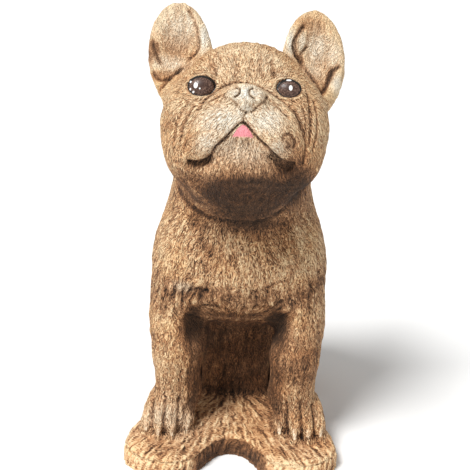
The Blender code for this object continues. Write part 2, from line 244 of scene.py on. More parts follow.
# Place on the statue and the way the fur lies there, mirrored on the other side
furGuides = (
    ((0, -70, 200), (0, -0.2, -1)), ((30, -55, 190), (0.35, 0, -1)), ((0, -75, 150), (0, 0, -1)),
    ((35, -70, 150), (0.25, 0, -1)), ((60, -20, 190), (0.3, 0.5, -1)), ((70, 0, 150), (0, 0.6, -1)),
    ((0, -60, 120), (0, 0.6, -1)), ((25, -60, 125), (-0.7, 0.3, -0.7)), ((55, -60, 90), (0, 0, -1)),
    ((80, -40, 90), (0.1, 0.3, -1)), ((55, -70, 50), (0, -0.1, -1)), ((60, -90, 32), (0, -1, -0.4)),
    ((80, 30, 80), (0, 0.5, -1)), ((85, 60, 60), (0, 0.3, -1)), ((75, 90, 40), (0, 0, -1)),
    ((0, 90, 150), (0, 0.4, -1)), ((40, 90, 130), (0.3, 0.2, -1)), ((0, 125, 70), (0, 0.2, -1)),
    ((50, 115, 60), (0.4, 0, -1)), ((0, 60, 220), (0, 0.4, -1)), ((55, 40, 200), (0.3, 0.4, -1)),
    ((0, 30, 300), (0, 0.7, -1)), ((50, 20, 290), (0.2, 0.8, -1)), ((0, 0, 60), (0, 0, -1)),
    ((0, -80, 228), (0, 0.3, -1)), ((35, -70, 225), (0.6, 0, -0.7)),
)
# The same in the head's frame: across, forward, up
headGuides = (
    ((0, 62, 30), (0, 0, 1)), ((0, 50, 45), (0, -0.6, 1)), ((24, 50, 34), (0.5, 0, 1)),
    ((0, 20, 62), (0, -1, 0.2)), ((45, 30, 34), (0.9, -0.5, 0.8)), ((36, 55, 24), (0.7, 0, 0.6)),
    ((52, 42, 8), (1, -0.5, 0.1)), ((36, 55, -10), (0.9, -0.3, -0.5)), ((20, 68, -14), (1, 0, -0.6)),
    ((12, 72, -24), (0.7, 0, -0.8)), ((28, 66, -34), (0.7, 0, -0.8)),
    ((38, 56, -46), (0.6, -0.2, -0.8)), ((54, 40, -22), (0.5, -0.4, -1)),
    ((62, 20, -20), (0.2, -0.6, -1)), ((50, 30, -50), (0.2, -0.4, -1)), ((0, 62, -46), (0, 0, -1)),
    ((14, 60, -52), (0.4, 0, -1)), ((0, 50, -66), (0, -0.6, -1)), ((30, 40, -62), (0.4, -0.5, -1)),
    ((0, 20, -80), (0, -0.6, -1)), ((66, 0, 10), (0.1, -1, -0.3)), ((58, 0, 60), (0.05, 0, 1)),
    ((75, 0, 55), (0.3, 0, 1)), ((45, 0, 60), (-0.2, 0, 1)), ((60, 0, 95), (0, 0, 1)),
    ((60, -20, 70), (0, 0, -1)),
)
fur = {
    "reach": 26.0,           # how far a guide is felt
    "clump": 5.0, "clumpLength": 13, "clumpDepth": 0.50,
    "lock": 2.9, "lockLength": 9, "lockDepth": 0.36,
    "softerOnFace": 0.35,
}
streak = {"steps": 6, "contrast": 3.2}
base = {
    "top": 18.0, "blend": 1.5,            # where the fur ends and the base's strokes begin
    "middle": (0, 20),                    # the strokes run outward from here
    "lean": 0.35,                         # how far they lean on its sides
    "stroke": 4.4, "strokeLength": 17, "depth": 1.1, "sink": 0.7,
}


def baseFlow(points, normals):
    # outward on the base's top and down its sides
    outward = points - (*base["middle"], 0)
    outward[:, 2] = 0
    outward /= np.maximum(np.linalg.norm(outward, axis=1), 1e-6)[:, None]
    isTop = smoothStep(0.55, 0.8, normals[:, 2])[:, None]
    return outward * isTop + np.array((base["lean"], 0, 1)) * (1 - isTop)


def furFlow(points, normals):
    places, directions = [], []
    for side in (1, -1):
        for place, way in furGuides:
            places.append((place[0] * side, place[1], place[2]))
            directions.append((way[0] * side, way[1], way[2]))
        for place, way in headGuides:
            places.append(fromHead(np.array((place[0] * side, place[1], place[2]), float)))
            directions.append(np.array((way[0] * side, way[1], way[2])) @ headWays)
    flow = np.zeros_like(points)
    for place, way in zip(np.array(places), np.array(directions)):
        far = ((points - place) ** 2).sum(axis=1) / fur["reach"] ** 2
        flow += (1 / (0.02 + far) ** 2.5)[:, None] * way / np.linalg.norm(way)
    onBase = smoothStep(base["top"] + base["blend"], base["top"], points[:, 2])[:, None]
    flow /= np.maximum(np.linalg.norm(flow, axis=1), 1e-6)[:, None]
    flow = flow * (1 - onBase) + baseFlow(points, normals) * onBase
    flow -= (flow * normals).sum(axis=1)[:, None] * normals
    return flow / np.maximum(np.linalg.norm(flow, axis=1), 1e-6)[:, None]


def streaks(points, flow, size, length, seed):
    # noise drawn out along the flow, from about -1 to 1
    steps = streak["steps"]
    total = np.zeros(len(points))
    for step in range(steps):
        along = (step / (steps - 1) - 0.5) * length
        moved = (points + flow * along) / size + seed
        total += np.array([noise.noise(Vector(p)) for p in moved])
    return np.clip(total / steps * streak["contrast"], -1, 1)


# What is carved

# Lines seen from the head's front: path across and up, width, depth
faceLines = (
    # over the nose
    (((-39, -13), (-33, -4), (-27, 2), (-20, 7), (-9, 11.5), (3, 9.5), (13, 7), (25, 0), (35, -7),
      (43, -16), (46, -26)), 1.2, 1.2),
    (((-30, -8), (-22, -4), (-15.5, -0.8)), 1.1, 1.2),
    (((17, -4), (27, -12), (36, -21)), 1.3, 0.7),
    # round the nose's wings and under it
    (((-18, -3), (-15.5, -7.5), (-11, -9.8), (-7.3, -13.4), (-2, -18.2), (4.3, -18.8), (9.4, -14.2),
      (15, -9.8), (17.3, -4)), 1.0, 0.95),
    (((-13.5, -2.5), (-9.8, -6)), 3.0, -1.1),
    (((8, -5), (12.5, -3)), 3.0, -1.1),
    (((-1.5, 2), (-1.2, -13)), 3.0, -0.5),
    # from the nose to the mouth
    (((1, -19), (-0.8, -21.5), (-1.6, -26)), 0.8, 1.2),
    # mouth
    (((-45, -55.5), (-41, -56), (-33.5, -55.5), (-27, -52.5), (-23.5, -48), (-17.7, -42.5),
      (-12.4, -36.6), (-7, -30.8), (-1.6, -26.8), (5, -31.8), (10.8, -38.6), (16.5, -44), (22, -49),
      (29, -53.5), (35.5, -55), (41, -55)), 1.0, 1.9),
    (((-44, -57), (-36, -57.5), (-28, -54.5)), 1.9, 1.7),
    (((22, -50.5), (31, -56.5), (39, -57)), 1.9, 1.6),
    # between muzzle and cheek
    (((-36, -11.5), (-39.6, -19), (-43.4, -27), (-46.2, -37), (-48.4, -45)), 1.1, 1.1),
    (((-41, -9), (-46, -17), (-50, -27), (-52, -38)), 1.0, 0.9),
    (((-47, -6), (-53, -17), (-57, -30), (-57, -43)), 1.2, 0.9),
    (((42, -14), (48, -26), (50, -40), (48, -54)), 1.1, 1.0),
    (((51, 6), (53, -8), (54, -22), (53, -38)), 1.0, 1.3),
    (((56, 2), (59, -12), (59, -28), (56, -42)), 1.1, 1.1),
    (((47, -8), (49, -16), (49.5, -25)), 1.0, 0.7),
    # brow
    (((-30, 30), (-27.5, 26), (-26, 20), (-27, 16)), 2.4, 1.1),
    (((20.5, 31), (22, 26), (22.5, 20)), 2.4, 1.1),
    (((-10, 32), (-8, 26), (-9, 18)), 2.0, 0.4),
    (((10, 31), (10.5, 24), (13, 17)), 1.8, 0.6),
    # pitted patch on the flew
    (((30.6, -40), (32, -36), (37, -35), (41, -39), (40, -43.5)), 1.5, 1.2),
    (((34, -41), (36.5, -43.5), (33, -45)), 1.2, 0.9),
    # nostrils
    (((-8.5, 1.5), (-6.2, 0.5), (-5.4, -2.5), (-6, -5.4), (-8.6, -7.6)), 1.0, 2.2),
    (((5.5, 0.5), (3.2, -1.2), (2.8, -4), (4.2, -6.8), (7, -8)), 1.0, 2.2),
)
# The same for the ears
earLines = (
    (((-53, 98), (-46.5, 84), (-44, 73), (-43, 64), (-45, 59), (-51, 55)), 1.7, 1.6),
    (((-40, 78), (-38.5, 68), (-40.5, 58)), 2.0, -0.7),
    (((-85, 69), (-82, 61), (-79, 54), (-76, 50)), 2.0, 1.8),
    (((-80.5, 68), (-78, 60)), 1.3, 1.2),
    (((-82, 47), (-75, 43), (-66, 45)), 2.4, -0.9),
    (((-83, 40), (-76, 33), (-67, 36)), 1.8, 1.8),
    (((-57, 46), (-65.6, 37.6), (-72, 28.7), (-77, 23)), 1.8, 1.6),
    (((49, 86), (43, 75), (41, 67), (43, 60.5), (47, 56)), 1.8, 2.4),
    (((50.5, 81), (49.5, 72), (47.5, 65.5)), 1.8, -1.3),
    (((52, 69), (47.8, 62), (50, 55)), 1.4, 1.8),
    (((82, 52), (76, 49), (73, 42.6), (71, 34), (67, 23)), 1.9, 2.4),
    (((84, 55), (81, 41), (77, 29)), 1.8, -0.8),
    (((44, 58), (51, 50.5), (59, 39), (67, 24)), 1.8, 1.6),
)
# Seen from the statue's front: path across and up
chestLines = (
    # edge of the loose skin under the throat
    (((-57, 236), (-47, 227), (-37, 221.5), (-26, 218), (-15, 217), (2, 217), (20, 218),
      (32, 223), (42, 233), (50, 248)), 3.2, 1.5),
    (((-50, 246), (-38, 233), (-20, 226), (4, 225), (24, 227), (38, 238)), 5.0, -1.6),
    # hollows down the chest
    (((-43, 236), (-37.5, 211), (-31.5, 195.5), (-21, 185), (-9.6, 181), (-2.7, 185)), 5.5, 0.6),
    (((37, 208), (46, 193), (52, 179), (49, 168)), 5.5, 0.6),
    # fringes of longer fur, each a lip with a hollow under it
    (((-50, 140), (-46, 150), (-40, 157), (-32, 159)), 3.4, -0.9),
    (((-47, 139), (-42, 149), (-34, 153), (-26, 151)), 2.0, 1.1),
    (((-22, 158), (-14, 154), (-5, 157)), 2.2, 0.5),
    (((16, 153), (28, 157), (38.6, 162), (47, 164)), 2.2, 0.7),
    (((-36, 140), (-26.5, 146), (-15.7, 144.5)), 3.2, -0.9),
    (((-38, 131), (-24, 136), (-8, 133)), 2.0, 0.8),
    (((8, 134), (18, 138), (32, 136), (42, 143)), 2.0, 0.6),
    (((-46, 128), (-27, 122), (-9, 123), (14, 123), (36, 128), (48, 135)), 3.0, -0.9),
)
pawLines = (
    (((-73, 40), (-72.4, 31), (-71, 21)), 1.5, 1.3),
    (((-61, 47), (-61.5, 34), (-60, 21)), 1.6, 1.6),
    (((-49.5, 47), (-48.5, 34), (-47.5, 21)), 1.6, 1.6),
    (((50, 47), (50.5, 33), (51, 21)), 1.6, 1.6),
    (((62, 48), (63, 34), (64, 21)), 1.6, 1.6),
    (((73.5, 42), (75, 33), (76, 21)), 1.5, 1.3),
)
# The claws' places across, how far forward their toes reach, and their size
toes = ((-13, -69), (-1, -78), (10, -79), (20.5, -71))
claw = {"pawAcross": 56.5, "middle": 2.0, "spread": 0.12, "root": (-10, 27), "tip": (-16, 22),
        "radius": 1.7, "taper": 0.8, "height": 0.8}
# The eyes in the head's frame. The ball's size is across, deep and high.
eye = {
    "middle": -0.7, "across": 35.9, "up": 9.0, "halfWidth": 11.6, "halfHeight": 9.2,
    "ball": (13.2, 9.6, 11.2), "centreForward": 43.6,
    "leftShare": 0.88,                    # the dog's left eye is this much smaller
    "lidRadius": 1.22, "lidWidth": 0.13, "lidHeight": 1.6, "heavierAbove": 0.35,
}


def eyeRadius(local, side):
    # 1 round an eye's edge
    share = 1 if side < 0 else eye["leftShare"]
    return np.hypot((local[:, 0] - eye["middle"] - side * eye["across"]) / (eye["halfWidth"] * share),
                    (local[:, 2] - eye["up"]) / (eye["halfHeight"] * share))


def setEyes(points):
    # rounds the eyeballs exactly and raises the lids round them
    local = toHead(points)
    across, deep, high = eye["ball"]
    inFront = local[:, 1] > 25
    for side in (-1, 1):
        radius = eyeRadius(local, side)
        flat = (((local[:, 0] - eye["middle"] - side * eye["across"]) / across) ** 2
                + ((local[:, 2] - eye["up"]) / high) ** 2)
        ball = eye["centreForward"] + deep * np.sqrt(np.clip(1 - flat, 0, 1))
        onBall = (1 - smoothStep(1.0, 1.06, radius)) * inFront
        lid = np.exp(-((radius - eye["lidRadius"]) / eye["lidWidth"]) ** 2) * inFront
        heavier = 1 + eye["heavierAbove"] * smoothStep(0, 10, local[:, 2] - eye["up"])
        local[:, 1] += lid * eye["lidHeight"] * heavier
        local[:, 1] = local[:, 1] * (1 - onBall) + ball * onBall
    return fromHead(local)


def onClaws(points):
    # 1 on the claws
    nearest = np.full(len(points), 1e3)
    for across, reach in toes:
        for side in (-1, 1):
            x = claw["middle"] + side * (claw["pawAcross"] + across * (1 + claw["spread"]))
            root = np.array((x, reach + claw["root"][0], claw["root"][1]))
            run = np.array((x, reach + claw["tip"][0], claw["tip"][1])) - root
            share = np.clip((points - root) @ run / (run @ run), 0, 1)
            away = np.linalg.norm(points - root - share[:, None] * run, axis=1)
            nearest = np.minimum(nearest, away + share * claw["taper"])
    return smoothStep(claw["radius"] + 1.0, claw["radius"], nearest)


def carveForms(points, normals):
    local = toHead(points)
    headFront = local[:, [0, 2]]
    statueFront = points[:, [0, 2]]
    onFace = smoothStep(18, 30, local[:, 1])
    onEars = smoothStep(16, 4, local[:, 1]) * smoothStep(-30, -22, local[:, 1]) \
        * (np.abs(local[:, 0]) > 34) * smoothStep(12, 24, local[:, 2]) \
        * smoothStep(0.1, 0.5, (normals @ headWays.T)[:, 1])
    onChest = smoothStep(-20, -34, points[:, 1]) * smoothStep(100, 112, points[:, 2])
    onPaws = (smoothStep(-56, -64, points[:, 1]) * smoothStep(60, 46, points[:, 2])
              * smoothStep(18.8, 21.5, points[:, 2]))
    sunk = (carved(headFront, onFace, faceLines) + carved(headFront, onEars, earLines)
            + carved(statueFront, onChest, chestLines) + carved(statueFront, onPaws, pawLines))
    return points + normals * (onClaws(points) * claw["height"] - sunk)[:, None], sunk


# Middle of the crinkled fringe of long fur across the chest, seen from the front
fringe = {
    "path": ((-68, 136), (-50, 147), (-22, 146), (1, 142), (33, 144), (56, 144), (74, 153)),
    "width": 11.5, "rougher": 1.4,
    "dark": 0.56, "uneven": 0.7, "patch": 12,
}


def onFringe(points):
    return nearLine(points[:, [0, 2]], fringe["path"], fringe["width"]) \
        * smoothStep(-20, -34, points[:, 1])


def carveFur(points, normals, flow):
    # locks of fur everywhere but on the eyes, the nose, the claws and the base
    local = toHead(points)
    face = smoothStep(20, 40, local[:, 1])
    radius = np.minimum(eyeRadius(local, -1), eyeRadius(local, 1))
    byEyes = np.clip(smoothStep(1.0, 1.6, radius) + (local[:, 1] < 20), 0, 1)
    nose = spot(local[:, [0, 2]], (0, -5), (15, 9)) * (local[:, 1] > 50)
    aboveBase = smoothStep(base["top"] - 0.6, base["top"] + base["blend"], points[:, 2])
    amount = byEyes * (1 - nose) * aboveBase * (1 - onClaws(points))
    clumps = streaks(points, flow, fur["clump"], fur["clumpLength"], (3.1, 7.7, 1.3))
    locks = streaks(points, flow, fur["lock"], fur["lockLength"], (8.3, 2.9, 4.1))
    amount *= (1 - fur["softerOnFace"] * face) * (1 + fringe["rougher"] * onFringe(points))
    moved = amount * (fur["clumpDepth"] * clumps + fur["lockDepth"] * locks)
    return points + normals * moved[:, None]


def carveBase(points, normals, flow):
    # rough strokes that run outward on the base's top and down its sides
    onBase = smoothStep(base["top"] + 1, base["top"] - 0.8, points[:, 2]) \
        * smoothStep(0.5, 3.0, points[:, 2])
    chosen = np.flatnonzero(onBase > 0.01)
    rough = streaks(points[chosen], flow[chosen], base["stroke"], base["strokeLength"],
                    (1.7, 5.5, 9.1))
    moved = np.zeros(len(points))
    moved[chosen] = onBase[chosen] * (rough * base["depth"] - base["sink"])
    return points + normals * moved[:, None]


# Where the paint and the painted shade go

# Painted shade, with some dark wash: rays find how much light reaches each point, carved lines are
# darkened, and the recess, the notch's side face and the legs' inner sides are painted dark
shadeAndWash = {
    "rays": 28, "quickRays": 10, "start": 1.5, "reach": 70.0,
    "fromBelow": 0.35,       # share of light from rays that point down
    "reliefRounds": 3, "hollowRounds": 26, "darkestCut": 1.8,
    "recess": 0.70, "notch": 0.85, "betweenLegs": 0.75,
}


def skyOpen(mesh, points, normals, edges):
    # how much light reaches each point, from 0 in deep hollows to 1 in the open
    tree = BVHTree.FromPolygons([Vector(p) for p in points], [tuple(f.vertices) for f in mesh.polygons])
    rays = shadeAndWash["rays"]
    total = np.full(len(points), 1e-6)
    lit = np.zeros(len(points))
    for i in range(rays):
        height = 1 - (2 * i + 1) / rays
        turn = i * math.pi * (3 - math.sqrt(5))
        flat = math.sqrt(1 - height * height)
        way = Vector((flat * math.cos(turn), flat * math.sin(turn), height))
        facing = normals @ np.array(way)
        weight = np.clip(facing, 0, 1) * (1 if height > -0.3 else shadeAndWash["fromBelow"])
        chosen = np.flatnonzero(facing > 0.08)
        starts = points[chosen] + normals[chosen] * shadeAndWash["start"]
        free = np.array([tree.ray_cast(Vector(p), way, shadeAndWash["reach"])[0] is None for p in starts])
        total[chosen] += weight[chosen]
        lit[chosen] += weight[chosen] * free
    return eased(lit / total, edges, 4)[:, 0]


# Pale paint on the face: centre across and up, size, strength
creamSpots = (
    ((-17, -26), (18, 13), 0.95), ((17, -25), (15, 13), 0.85), ((-0.5, -5), (15, 9), 1.0),
    ((-29, -43), (11, 8), 0.7), ((26, -46), (10, 8), 0.5), ((-2, -47), (22, 12), 0.7),
    ((0, 12), (60, 50), 0.22), ((-24, 22), (8, 6), 0.3), ((29, 19), (9, 6), 0.3),
    ((-13, 8), (10, 5), 0.35), ((-1, -18), (12, 8), 0.8),
)
# The same on a paw and on the chest's fringe, in the statue's own millimetres
creamPlaces = (((-54, -74, 30), (26, 22, 14), 0.45), ((-47, -66, 153), (9, 20, 5), 0.7))
# Pale and dark on the ears; the dark is painted shade in the ears' hollows, pits and pockets, and brown
# near their tips
earPale = (((-38.5, 72), (6, 17), 0.9), ((-60, 84), (20, 20), 0.6), ((-68, 50), (16, 9), 0.6),
           ((38, 70), (5, 15), 0.9), ((48, 72), (5, 12), 0.7), ((62, 68), (12, 18), 0.7),
           ((76, 62), (10, 16), 0.6), ((80, 36), (6, 10), 0.7), ((60, 50), (12, 10), 0.5))
earDark = (((-63, 66), (9, 9), 0.32), ((-57, 98), (12, 6), 0.25), ((-86, 60), (6, 15), 0.8),
           ((-78, 38), (10, 5), 0.55), ((54, 90), (14, 9), 0.35), ((62, 36), (9, 6), 0.3),
           ((75, 45), (3, 8), 0.8), ((43, 66), (2.5, 12), 0.55))
# Painted shade, with some dark wash, seen from the statue's front: under the jaw and the throat, in the
# armpits, under the chest and its fringe, and down the legs
frontShade = (((8, 250), (36, 20), 2.4), ((6, 228), (38, 12), 1.2), ((44, 270), (18, 14), 1.0),
             ((14, 214), (34, 9), 1.0), ((22, 204), (14, 7), 0.5), ((-43, 245), (8, 8), 0.8),
             ((-48, 250), (12, 16), 0.85), ((-34, 238), (20, 10), 0.8), ((-36, 264), (16, 8), 0.6),
             ((46, 252), (18, 26), 1.5), ((-58, 75), (26, 52), 0.16), ((60, 84), (26, 36), 0.58),
             ((0, 124), (44, 6), 0.8), ((-14, 172), (22, 10), 0.2), ((-47, 150), (8, 6), 0.5),
             ((0, 141), (44, 5), 0.3), ((-37, 113), (12, 22), 1.3), ((38, 114), (13, 24), 1.3),
             ((-48, 131), (9, 7), 0.6), ((46, 136), (8, 7), 0.6))
# Painted shade on the face: under the mouth, in its corners and down one cheek
faceShade = (((-1, -50), (26, 12), 0.42), ((36, -41), (8, 8), 0.4), ((44, -48), (9, 8), 0.35),
            ((-46, -44), (8, 9), 0.3), ((52, -20), (9, 26), 0.2))


def paintSpots(places, spots):
    found = np.zeros(len(places))
    for centre, size, strength in spots:
        found = np.maximum(found, spot(places, centre, size) * strength)
    return found


def byEars(local):
    return smoothStep(16, 4, local[:, 1]) * (np.abs(local[:, 0]) > 32) * (local[:, 2] > 16)


def pale(points, normals):
    local = toHead(points)
    seen = local[:, [0, 2]]
    onFace = smoothStep(34, 48, local[:, 1])
    onEarFronts = byEars(local) * smoothStep(-0.1, 0.3, (normals @ headWays.T)[:, 1])
    found = paintSpots(seen, creamSpots) * onFace + paintSpots(seen, earPale) * onEarFronts
    elsewhere = np.maximum(paintSpots(points, creamPlaces), onClaws(points) * 0.5)
    return np.clip(np.maximum(found, elsewhere), 0, 1)


def dark(points, normals):
    # painted shade under the head and the chest, in the armpits and the recess, on the notch's side face
    # and the legs' inner sides; with some dark wash, brown on the ears and uneven dark along the chest's
    # fringe
    local = toHead(points)
    seen = local[:, [0, 2]]
    # below the chest the painted shade reaches further back
    onFront = smoothStep(15, -45, points[:, 1] - 40 * (points[:, 2] < 135)) \
        * smoothStep(-52, -66, local[:, 2] - 0.35 * np.abs(local[:, 0]))
    # painted shade on the legs' inner sides, which face each other
    betweenLegs = (smoothStep(0.1, 0.7, -np.sign(points[:, 0]) * normals[:, 0])
                   * smoothStep(52, 46, np.abs(points[:, 0])) * smoothStep(22, 40, points[:, 2])
                   * smoothStep(140, 125, points[:, 2]) * smoothStep(40, 20, points[:, 1]))
    # painted shade in the recess between the legs
    recess = (smoothStep(38, 28, np.abs(points[:, 0] - 2)) * smoothStep(-58, -36, points[:, 1])
              * smoothStep(70, 30, points[:, 1]) * smoothStep(130, 116, points[:, 2])
              * smoothStep(17.5, 22, points[:, 2]))
    # painted shade on the side face of the notch in the base's front
    notch = (smoothStep(38, 26, np.abs(points[:, 0])) * smoothStep(-80, -86, points[:, 1])
             * smoothStep(17.5, 14.5, points[:, 2]))
    patchy = np.array([noise.noise(Vector(p)) for p in points / fringe["patch"]])
    onLongFur = onFringe(points) * (1 + fringe["uneven"] * patchy)
    found = (paintSpots(seen, earDark) * byEars(local)
             + paintSpots(seen, faceShade) * smoothStep(30, 40, local[:, 1])
             + paintSpots(points[:, [0, 2]], frontShade) * onFront)
    places = [found, recess * shadeAndWash["recess"], notch * shadeAndWash["notch"],
              betweenLegs * shadeAndWash["betweenLegs"], onLongFur * fringe["dark"]]
    return np.clip(np.maximum.reduce(places), 0, 1)


def dressStatue(node):
    thing = makeSkin(node)
    mesh = thing.data
    print("stage: the skin is laid")
    points = readPoints(mesh)
    normals = readNormals(mesh)
    points, sunk = carveForms(points, normals)
    points = setEyes(points)
    writePoints(mesh, points)
    normals = readNormals(mesh)
    flow = furFlow(points, normals)
    points = carveFur(points, normals, flow)
    points = carveBase(points, normals, flow)
    points = np.clip(points, np.array(cadBox[0]) / mm, np.array(cadBox[1]) / mm)
    writePoints(mesh, points)
    print("stage: the statue is carved, in", sum(len(f.vertices) - 2 for f in mesh.polygons), "triangles")

    normals = readNormals(mesh)
    edges = readEdges(mesh)
    relief = ((points - eased(points, edges, shadeAndWash["reliefRounds"])) * normals).sum(axis=1)
    hollow = ((points - eased(points, edges, shadeAndWash["hollowRounds"])) * normals).sum(axis=1)
    storeVector(mesh, "furFlow", flow)
    storeNumber(mesh, "relief", relief)
    storeNumber(mesh, "hollow", hollow)
    # painted shade: "open" is darker where little light reaches, "dark" holds the painted shade under
    # things with some dark wash, and "cut" darkens the carved lines
    storeNumber(mesh, "open", skyOpen(mesh, points, normals, edges))
    storeNumber(mesh, "pale", pale(points, normals))
    storeNumber(mesh, "dark", dark(points, normals))
    storeNumber(mesh, "smooth", onClaws(points))
    storeNumber(mesh, "cut", np.clip(sunk / shadeAndWash["darkestCut"], 0, 1))
    mesh.shade_smooth()
    mesh.materials.clear()
    mesh.materials.append(paintedStone())
    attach(thing, "root")
    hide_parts(node)
    print("stage: the paint is laid out")


# Shader maths


def plug(socket, value):
    if isinstance(value, Wire):
        socket.id_data.links.new(value.socket, socket)
    elif socket.type == "RGBA":
        socket.default_value = (*value, 1)
    elif socket.type == "VECTOR" and isinstance(value, (int, float)):
        socket.default_value = (value,) * 3
    else:
        socket.default_value = value


class Wire:
    # a shader's socket that can be reckoned with

    def __init__(self, socket):
        self.socket = socket

    def node(self, kind, settings=None, inputs=None, out=0):
        # any node of the same shader: its settings, then its sockets' values or wires
        made = self.socket.id_data.nodes.new(kind)
        for name, value in (settings or {}).items():
            if name == "stops":
                self.setStops(made.color_ramp.elements, value)
            else:
                setattr(made, name, value)
        for name, value in (inputs or {}).items():
            plug(made.inputs[name], value)
        return Wire(made.outputs[out])

    def setStops(self, stops, wanted):
        while len(stops) < len(wanted):
            stops.new(1)
        for stop, (place, colour) in zip(stops, wanted):
            stop.position = place
            stop.color = (*colour, 1)

    def reckon(self, operation, first, second=0):
        wires = [w for w in (first, second) if isinstance(w, Wire)]
        isVector = any(w.socket.type in ("VECTOR", "RGBA") for w in wires)
        kind = "ShaderNodeVectorMath" if isVector else "ShaderNodeMath"
        return self.node(kind, {"operation": operation}, {0: first, 1: second})

    def __add__(self, other):
        return self.reckon("ADD", self, other)

    def __radd__(self, other):
        return self.reckon("ADD", other, self)

    def __sub__(self, other):
        return self.reckon("SUBTRACT", self, other)

    def __rsub__(self, other):
        return self.reckon("SUBTRACT", other, self)

    def __mul__(self, other):
        return self.reckon("MULTIPLY", self, other)

    def __rmul__(self, other):
        return self.reckon("MULTIPLY", other, self)

    def __truediv__(self, other):
        return self.reckon("DIVIDE", self, other)

    def __rtruediv__(self, other):
        return self.reckon("DIVIDE", other, self)

    def __pow__(self, other):
        return self.reckon("POWER", self, other)

    def __rpow__(self, other):
        return self.reckon("POWER", other, self)

    def __abs__(self):
        return self.reckon("ABSOLUTE", self)

    def atMost(self, other):
        return self.reckon("MINIMUM", self, other)

    def atLeast(self, other):
        return self.reckon("MAXIMUM", self, other)

    def scaled(self, amount):
        return self.node("ShaderNodeVectorMath", {"operation": "SCALE"}, {0: self, "Scale": amount})

    def rising(self, low, high):
        # 0 below low, 1 above high and smooth between
        return self.node("ShaderNodeMapRange", {"interpolation_type": "SMOOTHSTEP"},
                         {"Value": self, "From Min": low, "From Max": high})

    def falling(self, low, high):
        return 1 - self.rising(low, high)

    def mixed(self, share, other):
        # this colour going over to another
        return self.node("ShaderNodeMix", {"data_type": "RGBA"}, {0: share, 6: self, 7: other}, 2)

    def ramp(self, stops):
        return self.node("ShaderNodeValToRGB", {"stops": stops}, {0: self})

    def noise(self, size, detail=1.0):
        # noise at this place, with grains of a size in millimetres
        return self.node("ShaderNodeTexNoise", {}, {"Vector": self, "Scale": 1 / size,
                                                    "Detail": detail})

    def attribute(self, name, out="Fac"):
        return self.node("ShaderNodeAttribute", {"attribute_name": name}, {}, out)


def newMaterial(name):
    material = bpy.data.materials.new(name)
    material.use_nodes = True
    shader = material.node_tree.nodes["Principled BSDF"]
    return material, shader.inputs


# The paint

paint = {
    "stone": ((0.00, (0.016, 0.009, 0.005)), (0.22, (0.115, 0.055, 0.026)),
              (0.44, (0.345, 0.168, 0.078)), (0.66, (0.620, 0.355, 0.180)),
              (1.00, (0.920, 0.680, 0.400))),
    "pale": ((0.00, (0.035, 0.022, 0.016)), (0.22, (0.220, 0.145, 0.095)),
             (0.44, (0.580, 0.430, 0.290)), (0.66, (0.840, 0.710, 0.530)),
             (1.00, (0.940, 0.900, 0.790))),
    "tongue": (0.840, 0.290, 0.320),
    "eyeRimAndLidShade": (0.006, 0.004, 0.003),
    "iris": (0.055, 0.026, 0.018),
    "irisFleck": (0.190, 0.115, 0.085),
    "glint": (0.92, 0.92, 0.90),
}
# How much each thing lightens or darkens the paint, round the ground's own lightness
shade = {
    "ground": 0.60, "stroke": 1.0, "relief": 0.60, "patches": 0.6, "hollow": 0.10,
    "pale": 0.14, "ears": 0.12, "upper": 0.11, "evenerEars": 0.45,
    "shadeAndWash": 0.80, "cut": 0.5, "warm": 0.45,
}
# Brush strokes in millimetres. They stray this far from the fur's way and stand up this high.
strokes = {"waver": 7.0, "height": 2.1}
furStroke = {"width": 1.0, "length": 2.4, "steps": 4, "contrast": 3.8}
baseStroke = {"width": 2.4, "length": 13.0, "steps": 6, "contrast": 4.2}

# The tongue is a triangle with a rounded top, in the head's frame
tongue = {"middle": -1.2, "top": -28.0, "slope": 0.32, "power": 1.6, "foot": (-38.4, -37.0),
          "ragged": 1.6}
# Painted glints: which eye, place across and up from its middle, half size
glints = (
    (-1, (-4.6, -1.0), (1.7, 2.4)), (-1, (-9.0, 2.6), (0.8, 1.0)), (-1, (-9.0, -3.6), (0.7, 0.9)),
    (-1, (-6.4, -6.0), (0.9, 0.8)), (-1, (-1.2, -3.6), (0.7, 0.7)),
    (1, (1.2, -0.6), (1.5, 2.3)), (1, (-0.4, 6.6), (2.2, 0.9)),
)


def paintStrokes(place, flow, stroke):
    # noise smeared along the fur into strokes, from 0 to 1
    total = 0
    for step in range(stroke["steps"]):
        along = (step / (stroke["steps"] - 1) - 0.5) * stroke["length"]
        total = total + (place + flow.scaled(along)).noise(stroke["width"], 0)
    return ((total / stroke["steps"] - 0.5) * stroke["contrast"] + 0.5).atMost(1).atLeast(0)


